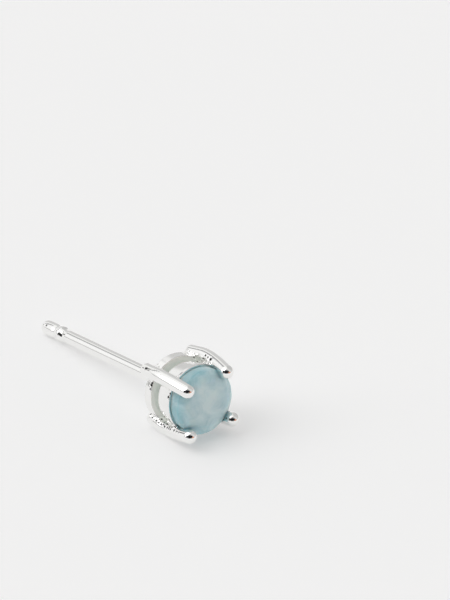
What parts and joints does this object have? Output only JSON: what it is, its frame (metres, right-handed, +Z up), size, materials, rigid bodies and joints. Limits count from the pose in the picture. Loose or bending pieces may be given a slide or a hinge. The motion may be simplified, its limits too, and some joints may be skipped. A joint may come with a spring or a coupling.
{
  "type": "stud earring",
  "caption": "Stud earring lying unworn: a round faceted stone held by curved claws in an open double-ring basket, on a straight grooved ear post.",
  "frame": {"origin": "middle of the lying earring's bounding box, on the surface that it lies on", "axes": "+Z up; the stone faces -Y and a little up; the post points to +Y and a little down, its nose on the surface; +X is to the right for someone who looks at the stone"},
  "size_m": [0.0042, 0.0162, 0.0045],
  "materials": {
    "silver": "polished",
    "aqua_stone": "gloss"
  },
  "bodies": {
    "root": {"setting": "silver", "stone": "aqua_stone"}
  },
  "joints": []
}
